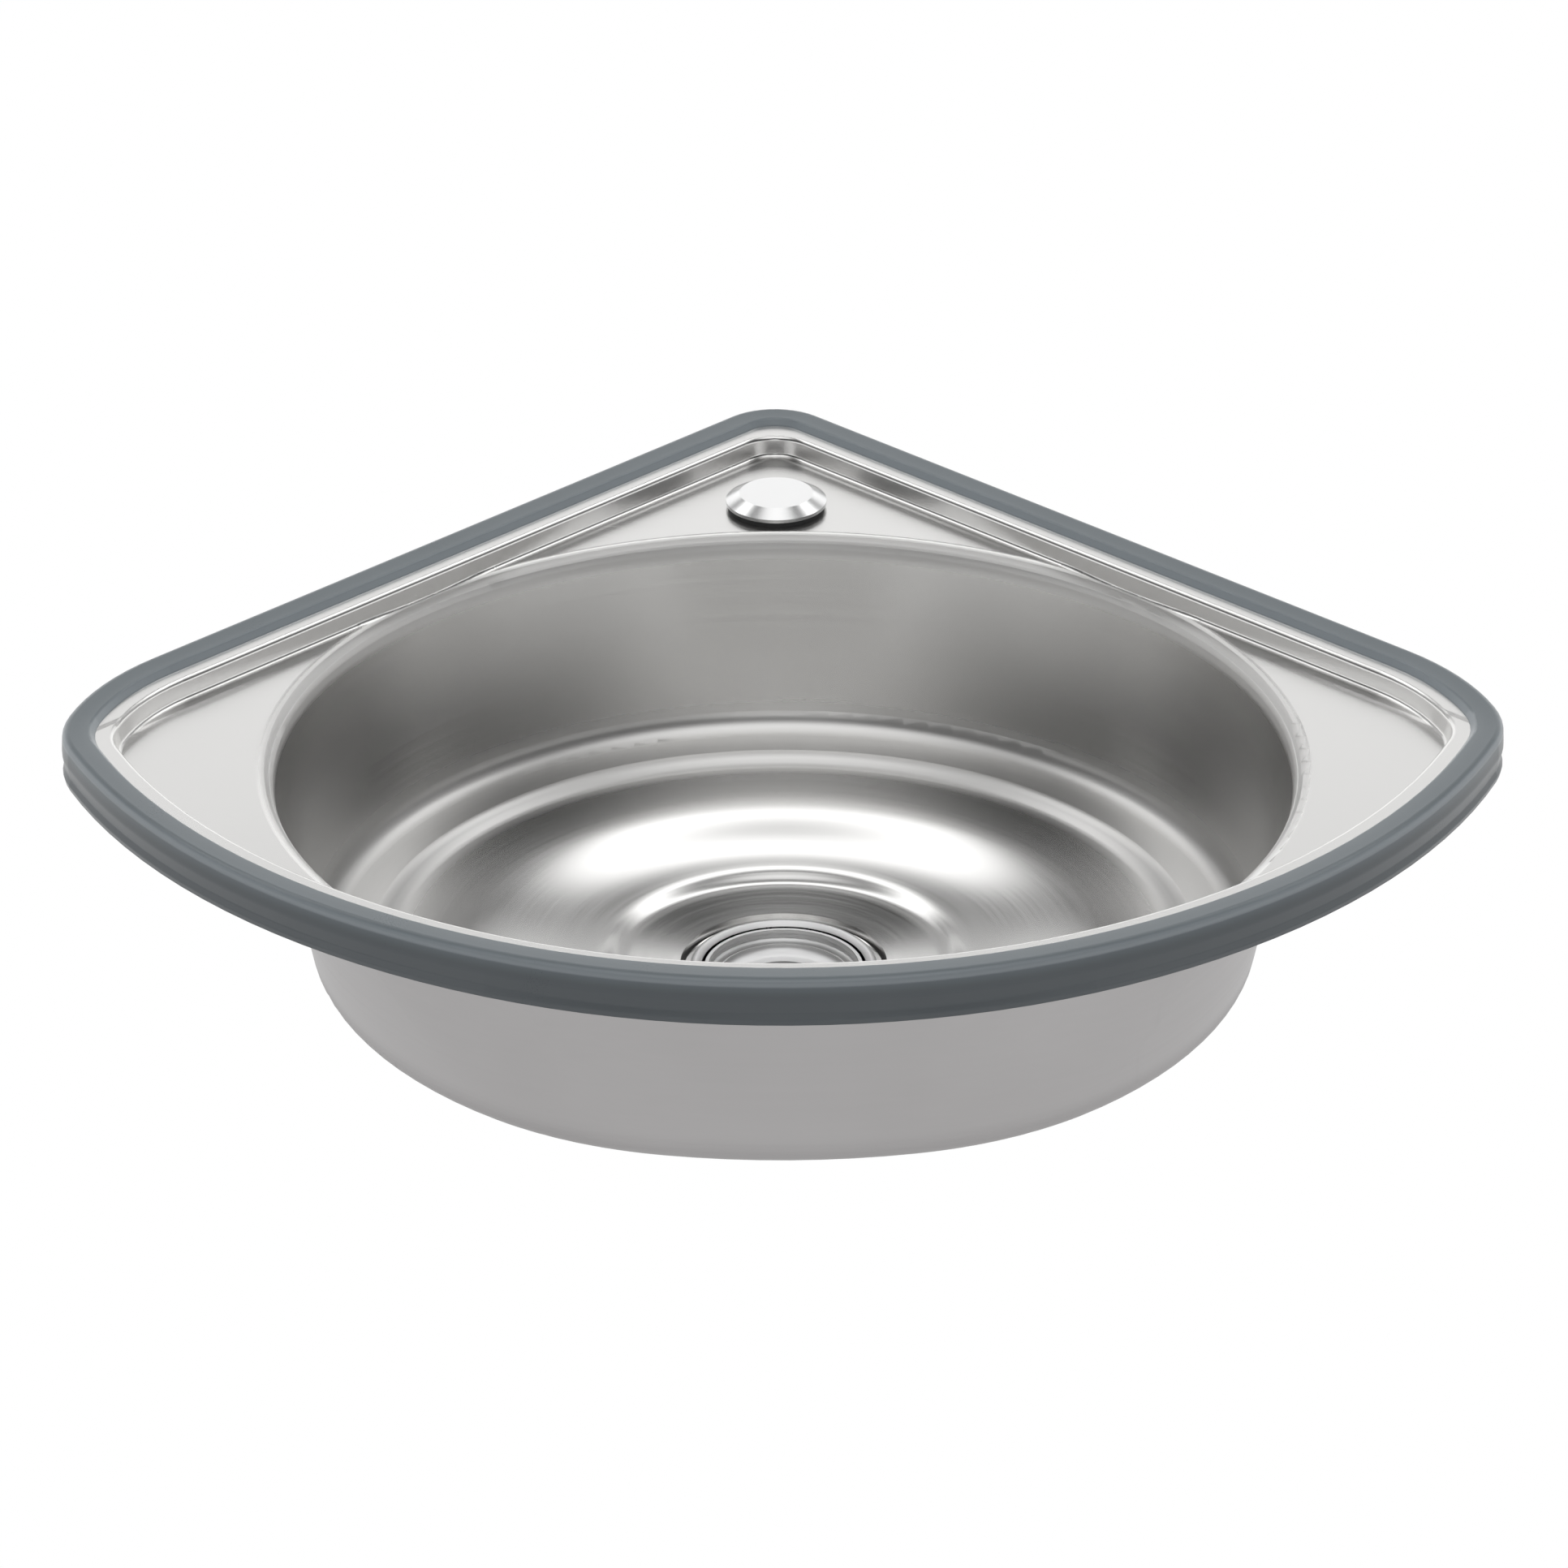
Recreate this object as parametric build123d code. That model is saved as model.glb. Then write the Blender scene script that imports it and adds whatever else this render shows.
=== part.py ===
"""Corner sink of pressed stainless steel that hangs in the corner of a room.

Millimetres, +Z up. The origin is the wall corner at the height of the steel rim:
the two walls stand on y = -x to the right and y = x to the left, and the front of
the sink points towards -Y. An offset is a distance from a wall, or from the edge of
the rim, towards the middle of the sink.
"""
from build123d import *
from math import atan, cos, degrees, radians, sin, sqrt, tan
import os

# Rim seen from above: straight along the walls, then shoulder, tip, flank and front arcs
wall_straight = 350.5
apex_radius = 26.0
shoulder_radius = 108.0
shoulder_sweep = 30.5
tip_radius = 47.0
tip_sweep = 37.0
flank_radius = 310.0
flank_sweep = 44.0

# Pressed sheet
sheet = 0.8
sheet_edge = 4.0
edge_fold_depth = 12.0
edge_bend_radius = 1.6
deck_depth = 8.0
step_foot_offset = 21.5
step_top_offset = 20.0
step_apex_radius = 15.0
step_top_radius = 2.0
step_foot_radius = 1.6

# Bowl: as large as these gaps to the rim's edges allow
bowl_wall_gap = 24.53
bowl_front_offset = 22.9
bowl_front_cut = 18.7
bowl_draft = 11.3
bowl_front_draft = 0.6
bowl_side_blend = 140.0
bowl_corner_radius = 9.0
bowl_lip_radius = 6.5
bowl_depth = 87.8

# Floor of the bowl, as steps down from its outer ledge
ledge_width = 10.0
ledge_step_width = 11.0
ledge_step = 3.8
dish_radius = 73.0
dish_fall = 4.0
drain_step_width = 10.0
drain_step = 3.0
drain_slope = 0.6
seat_depth = 2.8
seat_margin = 2.5

# Rubber strip round the rim
trim_top = 3.2
trim_bottom = 15.5
trim_reach = 13.0
trim_flat_reach = 10.9
trim_edge_radius = 2.8
trim_lean = 0.5
trim_crease_fall = 8.7
trim_waist_fall = 14.0
trim_waist = 0.9
trim_lip_rise = 2.2
trim_lip_radius = 1.4
trim_hook_width = 2.0
trim_hook_height = 5.0
trim_clearance = 0.15

# Tap hole in the deck and its cover
tap_hole_centre = 87.5
tap_hole_radius = 17.5
cover_radius = 20.8
cover_flat_radius = 15.2
cover_bevel = 3.0
cover_lip = 1.4
cover_wall = 1.2
cover_rim_width = 2.6
cover_gasket_thickness = 2.0
cover_gasket_inset = 0.8
cover_stud_radius = 4.0
cover_stud_length = 32.0
cover_plate_radius = 21.5
cover_plate_thickness = 1.5
cover_boss_radius = 7.0
cover_boss_height = 2.0

# Waste: flanged cup, its seals and its lock nut
flange_radius = 36.5
flange_edge = 1.2
flange_crown = 0.5
flange_crown_width = 1.8
flange_cone_radius = 28.6
flange_cone_fall = 5.4
waste_cup_radius = 29.6
waste_cup_bore = 27.2
waste_cup_length = 29.0
waste_step_fall = 7.0
waste_ledge_fall = 11.0
waste_ledge = 2.2
outlet_radius = 23.9
outlet_bore = 20.5
outlet_length = 26.0
waste_hole_gap = 0.9
gasket_thickness = 1.2
gasket_inset = 0.5
lower_gasket_thickness = 3.0
lower_gasket_radius = 38.0
friction_washer_thickness = 1.2
friction_washer_radius = 37.0
lock_nut_height = 11.0
lock_nut_radius = 36.0
lock_nut_lugs = 8
lock_nut_lug_reach = 3.0
lock_nut_lug_width = 7.0
spider_height = 3.0
spider_arms = 3
spider_arm_width = 3.2
spider_hub_radius = 6.5
spider_hole_radius = 3.4

# Strainer basket that lifts out of the waste
basket_radius = 26.6
basket_seat_gap = 0.3
basket_rim_fall = 3.6
basket_rim_width = 5.6
basket_wall = 0.8
basket_cup_radius = 18.0
basket_cup_depth = 12.0
basket_wall_slots = 16
basket_slot_width = 2.4
basket_inner_holes = 6
basket_inner_ring = 8.4
basket_outer_holes = 12
basket_outer_ring = 13.2
basket_hole_radius = 1.6
knob_radius = 6.5
knob_height = 3.6
knob_neck = 4.5
post_radius = 2.4
post_below = 16.0
seal_thickness = 1.8
seal_width = 1.7
clip_thickness = 0.5
clip_length = 9.0

# Wall rails
rail_start = 60.0
rail_overrun = 15.5
rail_steel = 2.0
rail_shelf = 20.0
rail_leg = 36.0
rail_bend_radius = 4.0
rail_corner_radius = 5.0
ear_width = 36.0
ear_reach = 54.0
rail_screw_drop = 24.0
rail_screw_inset = 46.0
rail_screw_radius = 2.75

# Hold-downs: studs under the deck, clamped through the rails
stud_start_inset = 40.0
stud_end_inset = 21.0
stud_offset = 38.0
stud_radius = 3.0
stud_length = 27.0
stud_pad = 18.0
stud_pad_thickness = 2.0
spacer_radius = 7.0
washer_radius = 9.0
washer_thickness = 1.6
wing_nut_radius = 5.2
wing_nut_height = 7.0
wing_span = 26.0
wing_rise = 8.0
wing_thickness = 2.2
thread_clearance = 0.1
hole_clearance = 0.5

# Values that follow from the ones above
root2 = sqrt(2)


def toward(angle):
    """Unit vector in plan, at an angle in degrees from +X."""
    return Vector(cos(radians(angle)), sin(radians(angle)))


def rim_arcs():
    """Centre, radius, first and last direction of each arc on the right, from wall to front."""
    direction = 45.0
    centre = Vector(wall_straight, -wall_straight) / root2
    last_radius = 0.0
    arcs = []
    for radius, sweep in (
        (shoulder_radius, shoulder_sweep), (tip_radius, tip_sweep), (flank_radius, flank_sweep)
    ):
        centre = centre + toward(direction) * (last_radius - radius)
        arcs.append((centre, radius, direction, direction - sweep))
        direction -= sweep
        last_radius = radius
    front_radius = last_radius + centre.X / toward(direction).X
    centre = centre + toward(direction) * (last_radius - front_radius)
    return arcs + [(centre, front_radius, direction, -90.0)]


front_centre, front_arc_radius = rim_arcs()[-1][:2]
front_arc_centre = -front_centre.Y
front_reach = front_arc_centre + front_arc_radius
bowl_rim_radius = (
    front_reach - bowl_front_offset + bowl_front_cut - bowl_wall_gap * root2
) / (1 + root2)
bowl_centre = (bowl_rim_radius + bowl_wall_gap) * root2
step_slope = atan((step_foot_offset - step_top_offset) / deck_depth)
bowl_foot_radius = bowl_rim_radius - (bowl_depth - deck_depth) * tan(radians(bowl_draft))
ledge_radius = bowl_foot_radius - bowl_corner_radius - ledge_width
ledge_z = -bowl_depth
dish_z = ledge_z - ledge_step
drain_rim_z = dish_z - dish_fall
drain_floor_z = drain_rim_z - drain_step
seat_radius = flange_radius + seat_margin
seat_z = drain_floor_z - drain_slope - seat_depth
flange_base_z = seat_z + gasket_thickness
flange_top_z = flange_base_z + flange_edge + flange_crown
deck_underside = -deck_depth - sheet
rail_top = -trim_bottom
rail_end = wall_straight + rail_overrun
stud_stations = (rail_start + stud_start_inset, rail_end - stud_end_inset)
headroom = 30.0
wall_frame = Rot(0, 0, -45)
waste_axis = Pos(0, -bowl_centre, 0)
cover_axis = Pos(0, -tap_hole_centre, 0)


def rim_outline(offset, apex=None):
    """Face of the rim's plan shape, drawn in by offset, at z = 0."""
    r_apex = apex if apex else apex_radius - offset
    apex_centre = Vector(0, -(offset + r_apex) * root2)
    apex_end = apex_centre + toward(45.0) * r_apex
    flip = lambda p: Vector(-p.X, p.Y)
    right = [apex_end]
    edges = []
    for centre, radius, first, last in rim_arcs():
        start, middle, end = (
            centre + toward(angle) * (radius - offset) for angle in (first, (first + last) / 2, last)
        )
        if last == -90.0:
            edges.append(ThreePointArc(start, end, flip(start)))
            continue
        edges.append(ThreePointArc(start, middle, end))
        edges.append(ThreePointArc(flip(end), flip(middle), flip(start)))
        right.append(start)
    edges.append(Line(right[0], right[1]))
    edges.append(Line(flip(right[1]), flip(right[0])))
    edges.append(ThreePointArc(flip(apex_end), apex_centre + Vector(0, r_apex), apex_end))
    return make_face(Wire(edges))


def turned(points, y=0.0):
    """Solid of revolution about the vertical axis at (0, y) from (radius, z) points."""
    profile = make_face(Polyline(*points, close=True))
    return Pos(0, y, 0) * revolve(Plane.XZ * profile, Axis.Z)


def ring(r_in, r_out, z_low, z_high):
    """Plain ring about the Z axis."""
    return turned([(r_in, z_low), (r_out, z_low), (r_out, z_high), (r_in, z_high)])


def bowl_hollow(skin):
    """Deck level and bowl as one hollow, grown by skin: everything above the sheet."""
    bottom = ledge_z - skin
    top = -deck_depth - skin
    fall = tan(radians(bowl_draft))
    fall_front = tan(radians(bowl_front_draft))
    grow = skin / cos(radians(bowl_draft))
    r_rim = bowl_rim_radius + grow
    r_front = front_arc_radius - bowl_front_offset + skin
    at = lambda r, rate, z: r + rate * (z + deck_depth)
    heights = (bottom, top + headroom)
    round_bowl = turned(
        [(0, bottom)] + [(at(r_rim, fall, z), z) for z in heights] + [(0, heights[1])], -bowl_centre
    )
    front_bowl = turned(
        [(0, bottom)] + [(at(r_front, fall_front, z), z) for z in heights] + [(0, heights[1])],
        -front_arc_centre,
    )
    hollow = round_bowl & front_bowl
    walls = [e for e in hollow.edges() if abs(e.bounding_box().size.Z - (heights[1] - bottom)) < 0.01]
    hollow = fillet([e for e in walls if abs(e.center().X) > bowl_corner_radius], bowl_side_blend)
    floor_edges = hollow.edges().filter_by(lambda e: e.bounding_box().max.Z < bottom + 0.01)
    hollow = fillet(floor_edges, bowl_corner_radius + skin)
    slab = Pos(0, -bowl_centre, top) * Box(
        4 * front_reach, 4 * front_reach, headroom, align=(Align.CENTER, Align.CENTER, Align.MIN)
    )
    hollow = hollow + slab
    lip = hollow.edges().filter_by(
        lambda e: abs(e.bounding_box().max.Z - top) < 0.01
        and abs(e.bounding_box().min.Z - top) < 0.01
        and e.bounding_box().max.X < front_reach
        and e.bounding_box().min.X > -front_reach
    )
    return fillet(lip, bowl_lip_radius - skin)


def step_offset(z, skin):
    """Offset of the recess wall at height z; the wall leans out as it rises."""
    return step_foot_offset - (z + deck_depth) * tan(step_slope) - skin / cos(step_slope)


def step_outline(offset):
    """Plan shape of the recess at the given offset."""
    return rim_outline(offset, step_apex_radius + step_foot_offset - offset)


def step_hollow(skin):
    """Recess of the deck, reaching a little into the bowl and open below, grown by skin."""
    low = -deck_depth - bowl_lip_radius
    upper = extrude(
        Pos(0, 0, low) * step_outline(step_offset(low, skin)),
        headroom,
        taper=-degrees(step_slope),
    )
    lower = Pos(0, 0, low) * extrude(step_outline(step_top_offset), -2 * bowl_depth)
    return upper + lower


def floor_hollow(skin):
    """Stepped and dished floor of the bowl down to the waste's seat, grown by skin."""
    lid = ledge_z + 2.0
    level = Vector(-1, 0)
    downhill = Vector(-1, -0.08)
    ledge_edge = Vector(ledge_radius, ledge_z - skin)
    dish_edge = Vector(ledge_radius - ledge_step_width, dish_z - skin)
    drain_edge = Vector(dish_radius, drain_rim_z - skin)
    drain_floor = Vector(dish_radius - drain_step_width, drain_floor_z - skin)
    seat_rim = Vector(seat_radius + (seat_depth + skin) / 2, seat_z + seat_depth - skin)
    with BuildSketch(Plane.XZ) as section:
        with BuildLine():
            Polyline((0, lid), (ledge_radius, lid), ledge_edge)
            Spline(ledge_edge, dish_edge, tangents=(level, level))
            Spline(dish_edge, drain_edge, tangents=(level, downhill))
            Spline(drain_edge, drain_floor, tangents=(downhill, level))
            Polyline(
                drain_floor, seat_rim, (seat_radius + skin / 2, seat_z - skin),
                (0, seat_z - skin), (0, lid),
            )
        make_face()
    return waste_axis * revolve(section.sketch, Axis.Z)


def pressed_hollow(skin):
    """All the room above the pressed sheet, or above its underside when grown by its thickness."""
    hollow = bowl_hollow(skin) & step_hollow(skin)
    deck_z = -deck_depth - skin
    foot = []
    for edge in hollow.edges():
        box = edge.bounding_box()
        if box.max.Z > deck_z + 0.01 or box.min.Z < deck_z - bowl_lip_radius:
            continue
        points = [edge.position_at(t) for t in (0.2, 0.5, 0.8)]
        gaps = [step_outline(step_offset(p.Z, skin)).wire().distance_to(Vector(p.X, p.Y)) for p in points]
        if max(gaps) < 0.02:
            foot.append(edge)
    return fillet(foot, step_foot_radius + skin) + floor_hollow(skin)


def sink_bowl():
    """Pressed sheet: folded edge, rim, recessed deck with its tap hole, bowl and waste seat."""
    plate = extrude(rim_outline(sheet_edge), -sheet)
    fold = extrude(rim_outline(sheet_edge) - rim_outline(sheet_edge + sheet), -edge_fold_depth)
    blank = plate + fold
    outer_bend = blank.edges().filter_by_position(Axis.Z, -0.01, 0.01)
    blank = fillet(outer_bend, edge_bend_radius)
    inner_bend = blank.edges().filter_by_position(Axis.Z, -sheet - 0.01, -sheet + 0.01)
    blank = fillet(inner_bend, edge_bend_radius - sheet)
    below = Pos(0, -bowl_centre, 0) * Box(
        4 * front_reach, 4 * front_reach, 4 * bowl_depth, align=(Align.CENTER, Align.CENTER, Align.MAX)
    )
    shell = blank + (pressed_hollow(sheet) & below) - pressed_hollow(0.0)
    shell -= cover_axis * Cylinder(tap_hole_radius, 4 * deck_depth)
    shell -= waste_axis * Cylinder(waste_cup_radius + waste_hole_gap, 4 * bowl_depth)
    step_edges = [
        e for e in shell.edges().filter_by_position(Axis.Z, -0.01, 0.01)
        if abs(step_outline(step_offset(0, 0)).wire().distance_to(e.position_at(0.5))) < 0.02
    ]
    shell = fillet(step_edges, step_top_radius)
    under_edges = [
        e for e in shell.edges().filter_by_position(Axis.Z, -sheet - 0.01, -sheet + 0.01)
        if step_outline(step_offset(-sheet, sheet)).wire().distance_to(
            e.position_at(0.5) + Vector(0, 0, sheet)
        ) < 0.02
    ]
    return fillet(under_edges, step_top_radius - sheet)


def rim_trim():
    """Rubber strip pushed over the rim: flat top, rounded front and a hook under the fold."""
    slot_out = sheet_edge - trim_clearance
    slot_in = sheet_edge + sheet + trim_clearance
    slot_floor = -edge_fold_depth - trim_clearance
    hook = slot_in + trim_hook_width
    shoulder = (trim_flat_reach, trim_top - trim_lean)
    ridge = (trim_lean, trim_top)
    crease = (0, trim_top - trim_crease_fall)
    waist = (trim_waist, trim_top - trim_waist_fall)
    lip = (0, trim_lip_rise - trim_bottom)
    section = Polyline(
        (trim_reach, 0), shoulder, ridge, crease, waist, lip, (trim_lean, -trim_bottom),
        (hook, -trim_bottom), (hook, trim_hook_height - trim_bottom),
        (slot_in, trim_hook_height - trim_bottom), (slot_in, slot_floor), (slot_out, slot_floor),
        (slot_out, 0), close=True,
    )
    face = make_face(section)
    for corner, radius in (
        (shoulder, trim_lip_radius), (ridge, trim_edge_radius), (crease, 2 * trim_edge_radius),
        (waist, trim_lip_radius), (lip, trim_lip_radius),
    ):
        face = fillet(face.vertices().sort_by_distance(Vector(*corner))[0], radius)
    path = rim_outline(0).face().outer_wire()
    inward = path.tangent_at(0).cross(Vector(0, 0, 1))
    if inward.dot(Vector(0, -front_arc_centre) - path.position_at(0)) < 0:
        inward = -inward
    start = Plane(path.position_at(0), x_dir=inward, z_dir=inward.cross(Vector(0, 0, 1)))
    return sweep(start * face, path=path)


def tap_hole_cover():
    """Bevelled cap over the tap hole, hollow below."""
    base = -deck_depth + cover_gasket_thickness
    shoulder = base + cover_lip
    top = shoulder + cover_bevel
    pocket = cover_radius - cover_rim_width
    return cover_axis * turned([
        (0, top), (cover_flat_radius, top), (cover_radius, shoulder), (cover_radius, base),
        (pocket, base), (pocket, shoulder - cover_wall), (cover_flat_radius - cover_wall, top - cover_wall),
        (0, top - cover_wall),
    ])


def cover_gasket():
    """Foam ring between the cap and the deck."""
    return cover_axis * ring(
        tap_hole_radius + hole_clearance, cover_radius - cover_gasket_inset,
        -deck_depth, -deck_depth + cover_gasket_thickness,
    )


def cover_stud():
    """Threaded stud with a boss that hangs from the middle of the cap."""
    top = -deck_depth + cover_gasket_thickness + cover_lip + cover_bevel - cover_wall
    boss = Pos(0, 0, top) * Cylinder(
        cover_boss_radius, cover_boss_height, align=(Align.CENTER, Align.CENTER, Align.MAX)
    )
    shank = Pos(0, 0, top) * Cylinder(
        cover_stud_radius, cover_stud_length, align=(Align.CENTER, Align.CENTER, Align.MAX)
    )
    shank = chamfer(shank.edges().sort_by(Axis.Z)[0], cover_stud_radius / 5)
    return cover_axis * (boss + shank)


def cover_backing_washer():
    """Large washer that pulls up against the underside of the deck."""
    return cover_axis * ring(
        cover_stud_radius + hole_clearance, cover_plate_radius,
        deck_underside - cover_plate_thickness, deck_underside,
    )


def wing_nut(stud):
    """Wing nut for a stud of the given radius, seated at z = 0 with its wings hanging down."""
    size = stud / stud_radius
    bore = stud + thread_clearance
    base = wing_nut_radius * size
    height = wing_nut_height * size
    hub = turned([(bore, 0), (base, 0), (base - size, -height), (bore, -height)])
    half = wing_span / 2 * size
    root = base - 1.6 * size
    wing = make_face(Polyline(
        (root, -size), (half, -0.45 * height), (half, -height - 0.4 * wing_rise * size),
        (half - 4.5 * size, -height - 0.4 * wing_rise * size), (root, -height), close=True,
    ))
    wing = fillet(wing.vertices().sort_by(Axis.X)[2:], 1.8 * size)
    blade = extrude(Plane.XZ * wing, wing_thickness * size / 2, both=True)
    return hub + blade + Rot(0, 0, 180) * blade


def cover_wing_nut():
    return cover_axis * Pos(0, 0, deck_underside - cover_plate_thickness) * wing_nut(cover_stud_radius)


def waste_flange():
    """Waste body: crowned flange, conical mouth, basket cup, spider and threaded outlet."""
    base = flange_base_z
    crown_r = flange_radius - flange_crown_width
    cup_end = base - waste_cup_length
    ledge = base - waste_ledge_fall
    ledge_bore = waste_cup_bore - waste_ledge
    neck = cup_end - waste_step_fall
    outlet_end = neck - outlet_length
    body = turned([
        (outlet_bore, outlet_end), (outlet_radius, outlet_end), (outlet_radius, neck),
        (waste_cup_radius, cup_end), (waste_cup_radius, base), (flange_radius, base),
        (flange_radius, base + flange_edge / 2), (flange_radius - 0.6, base + flange_edge),
        (crown_r, flange_top_z), (crown_r - 0.8, flange_top_z - 0.1),
        (flange_cone_radius, flange_top_z - flange_cone_fall),
        (waste_cup_bore, flange_top_z - flange_cone_fall - 0.5), (waste_cup_bore, ledge),
        (ledge_bore, ledge - 0.4), (ledge_bore, cup_end + 2), (outlet_bore, neck + 1.5),
    ])
    hub_top = cup_end + 2
    spider = Cylinder(spider_hub_radius, spider_height, align=(Align.CENTER, Align.CENTER, Align.MAX))
    for arm in PolarLocations(0, spider_arms):
        spider += arm * Box(
            ledge_bore + 1, spider_arm_width, spider_height, align=(Align.MIN, Align.CENTER, Align.MAX)
        )
    spider -= Cylinder(spider_hole_radius, 4 * spider_height)
    return waste_axis * (body + Pos(0, 0, hub_top) * spider)


def waste_gasket_upper():
    return waste_axis * ring(
        waste_cup_radius + waste_hole_gap + gasket_inset, flange_radius - gasket_inset,
        seat_z, seat_z + gasket_thickness,
    )


def under_seat(drop, thickness, r_out):
    """Ring below the waste's seat, drop under the sheet."""
    top = seat_z - sheet - drop
    return waste_axis * ring(waste_cup_radius + hole_clearance, r_out, top - thickness, top)


def lock_nut():
    """Lugged ring nut on the cup's thread."""
    top = seat_z - sheet - lower_gasket_thickness - friction_washer_thickness
    nut = Cylinder(lock_nut_radius, lock_nut_height, align=(Align.CENTER, Align.CENTER, Align.MAX))
    for lug in PolarLocations(lock_nut_radius, lock_nut_lugs):
        nut += lug * Box(
            2 * lock_nut_lug_reach, lock_nut_lug_width, lock_nut_height,
            align=(Align.CENTER, Align.CENTER, Align.MAX),
        )
    nut -= Cylinder(waste_cup_radius + thread_clearance, 4 * lock_nut_height)
    return waste_axis * Pos(0, 0, top) * nut


ledge_top_z = flange_base_z - waste_ledge_fall
basket_rim_z = ledge_top_z + basket_seat_gap + seal_thickness + basket_rim_fall + basket_wall
basket_shoulder_z = basket_rim_z - basket_rim_fall
basket_floor_z = basket_shoulder_z - basket_cup_depth


def strainer_basket():
    """Dished rim that runs into a perforated cup."""
    shoulder = basket_radius - basket_rim_width
    cup = basket_cup_radius
    thick = basket_wall
    rim_z = basket_rim_z
    step_z = basket_shoulder_z
    floor_z = basket_floor_z
    cup_r = 3.0
    with BuildSketch(Plane.XZ) as section:
        with BuildLine():
            Polyline(
                (0, floor_z), (cup - cup_r, floor_z), (cup, floor_z + cup_r), (cup, step_z),
                (shoulder, step_z),
            )
            Spline((shoulder, step_z), (basket_radius, rim_z), tangents=((1, 0.15), (0.35, 1)))
            Line((basket_radius, rim_z), (basket_radius - thick, rim_z + 0.2))
            Spline(
                (basket_radius - thick, rim_z + 0.2), (shoulder, step_z + thick),
                tangents=((-0.35, -1), (-1, -0.15)),
            )
            Polyline(
                (shoulder, step_z + thick), (cup - thick, step_z + thick),
                (cup - thick, floor_z + cup_r + 0.3), (cup - cup_r - 0.3, floor_z + thick),
                (0, floor_z + thick), (0, floor_z),
            )
        make_face()
    basket = revolve(section.sketch, Axis.Z)
    slot_low = floor_z + cup_r + basket_slot_width
    slot = Box(
        4 * thick, basket_slot_width, step_z - basket_slot_width / 2 - slot_low,
        align=(Align.CENTER, Align.CENTER, Align.MIN),
    )
    for place in PolarLocations(cup - thick / 2, basket_wall_slots):
        basket -= Pos(0, 0, slot_low) * place * slot
    hole = Cylinder(basket_hole_radius, 4 * thick)
    for count, radius in (
        (basket_inner_holes, basket_inner_ring), (basket_outer_holes, basket_outer_ring)
    ):
        for place in PolarLocations(radius, count):
            basket -= Pos(0, 0, floor_z) * place * hole
    basket -= Pos(0, 0, floor_z) * Cylinder(post_radius, 4 * thick)
    return waste_axis * basket


def strainer_post():
    """Pull knob, neck and locating pin through the basket's floor."""
    top = basket_shoulder_z
    collar_z = basket_floor_z + basket_wall
    post = turned([
        (0, top + knob_height), (knob_radius - 1.6, top + knob_height),
        (knob_radius, top + knob_height - 1.2), (knob_radius, top + 0.8), (knob_radius - 1, top),
        (post_radius + 0.8, top - 1.6), (post_radius + 0.8, collar_z + 2), (knob_neck, collar_z),
        (post_radius, collar_z), (post_radius, basket_floor_z - post_below + 1),
        (post_radius - 1, basket_floor_z - post_below), (0, basket_floor_z - post_below),
    ])
    return waste_axis * post


def strainer_seal():
    """Rubber ring under the basket's rim."""
    top = basket_shoulder_z
    outer = basket_radius - basket_rim_width + seal_width / 2
    return waste_axis * ring(outer - seal_width * 2, outer, top - seal_thickness, top)


def post_clip():
    """Split spring sleeve on the pin below the basket."""
    top = basket_floor_z
    sleeve = ring(post_radius, post_radius + clip_thickness, top - clip_length, top)
    slit = Box(
        4 * post_radius, clip_thickness * 2, 4 * clip_length,
        align=(Align.MIN, Align.CENTER, Align.CENTER),
    )
    return waste_axis * (sleeve - Pos(0, 0, top) * slit)


def both_walls(piece):
    """The piece at the right wall and its mirror image at the left wall."""
    right = wall_frame * piece
    return right, mirror(right, Plane.YZ)


def wall_rail():
    """Angle rail with two ears; X runs along the wall, Y points into it."""
    section = make_face(Polyline(
        (0, rail_top - rail_leg), (0, rail_top), (-rail_shelf, rail_top),
        (-rail_shelf, rail_top - rail_steel), (-rail_steel, rail_top - rail_steel),
        (-rail_steel, rail_top - rail_leg), close=True,
    ))
    outer = section.vertices().sort_by_distance(Vector(0, rail_top))[0]
    section = fillet(outer, rail_bend_radius)
    inner = section.vertices().sort_by_distance(Vector(-rail_steel, rail_top - rail_steel))[0]
    section = fillet(inner, rail_bend_radius - rail_steel)
    along = Plane((rail_start, 0, 0), x_dir=(0, 1, 0), z_dir=(1, 0, 0))
    rail = extrude(along * section, rail_end - rail_start)
    leg_ends = rail.edges().filter_by(Axis.Y).filter_by_position(
        Axis.Z, rail_top - rail_leg - 0.01, rail_top - rail_leg + 0.01
    )
    rail = fillet(leg_ends, rail_corner_radius)
    for station in stud_stations:
        ear = Pos(station, -rail_shelf / 2, rail_top) * Box(
            ear_width, ear_reach - rail_shelf / 2, rail_steel,
            align=(Align.CENTER, Align.MAX, Align.MAX),
        )
        ear = fillet(ear.edges().filter_by(Axis.Z).group_by(Axis.Y)[0], rail_corner_radius)
        rail += ear
        rail -= Pos(station, -stud_offset, rail_top) * Cylinder(
            stud_radius + hole_clearance, 4 * rail_steel
        )
    for at in (rail_start + rail_screw_inset, rail_end - rail_screw_inset):
        rail -= Pos(at, 0, rail_top - rail_screw_drop) * Rot(90, 0, 0) * Cylinder(
            rail_screw_radius, 4 * rail_steel
        )
    return rail


def at_stations(piece):
    """Four copies of a piece drawn about the Z axis, one at each hold-down."""
    copies = []
    for station in stud_stations:
        copies += both_walls(Pos(station, -stud_offset, 0) * piece)
    return Compound(children=copies)


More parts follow.
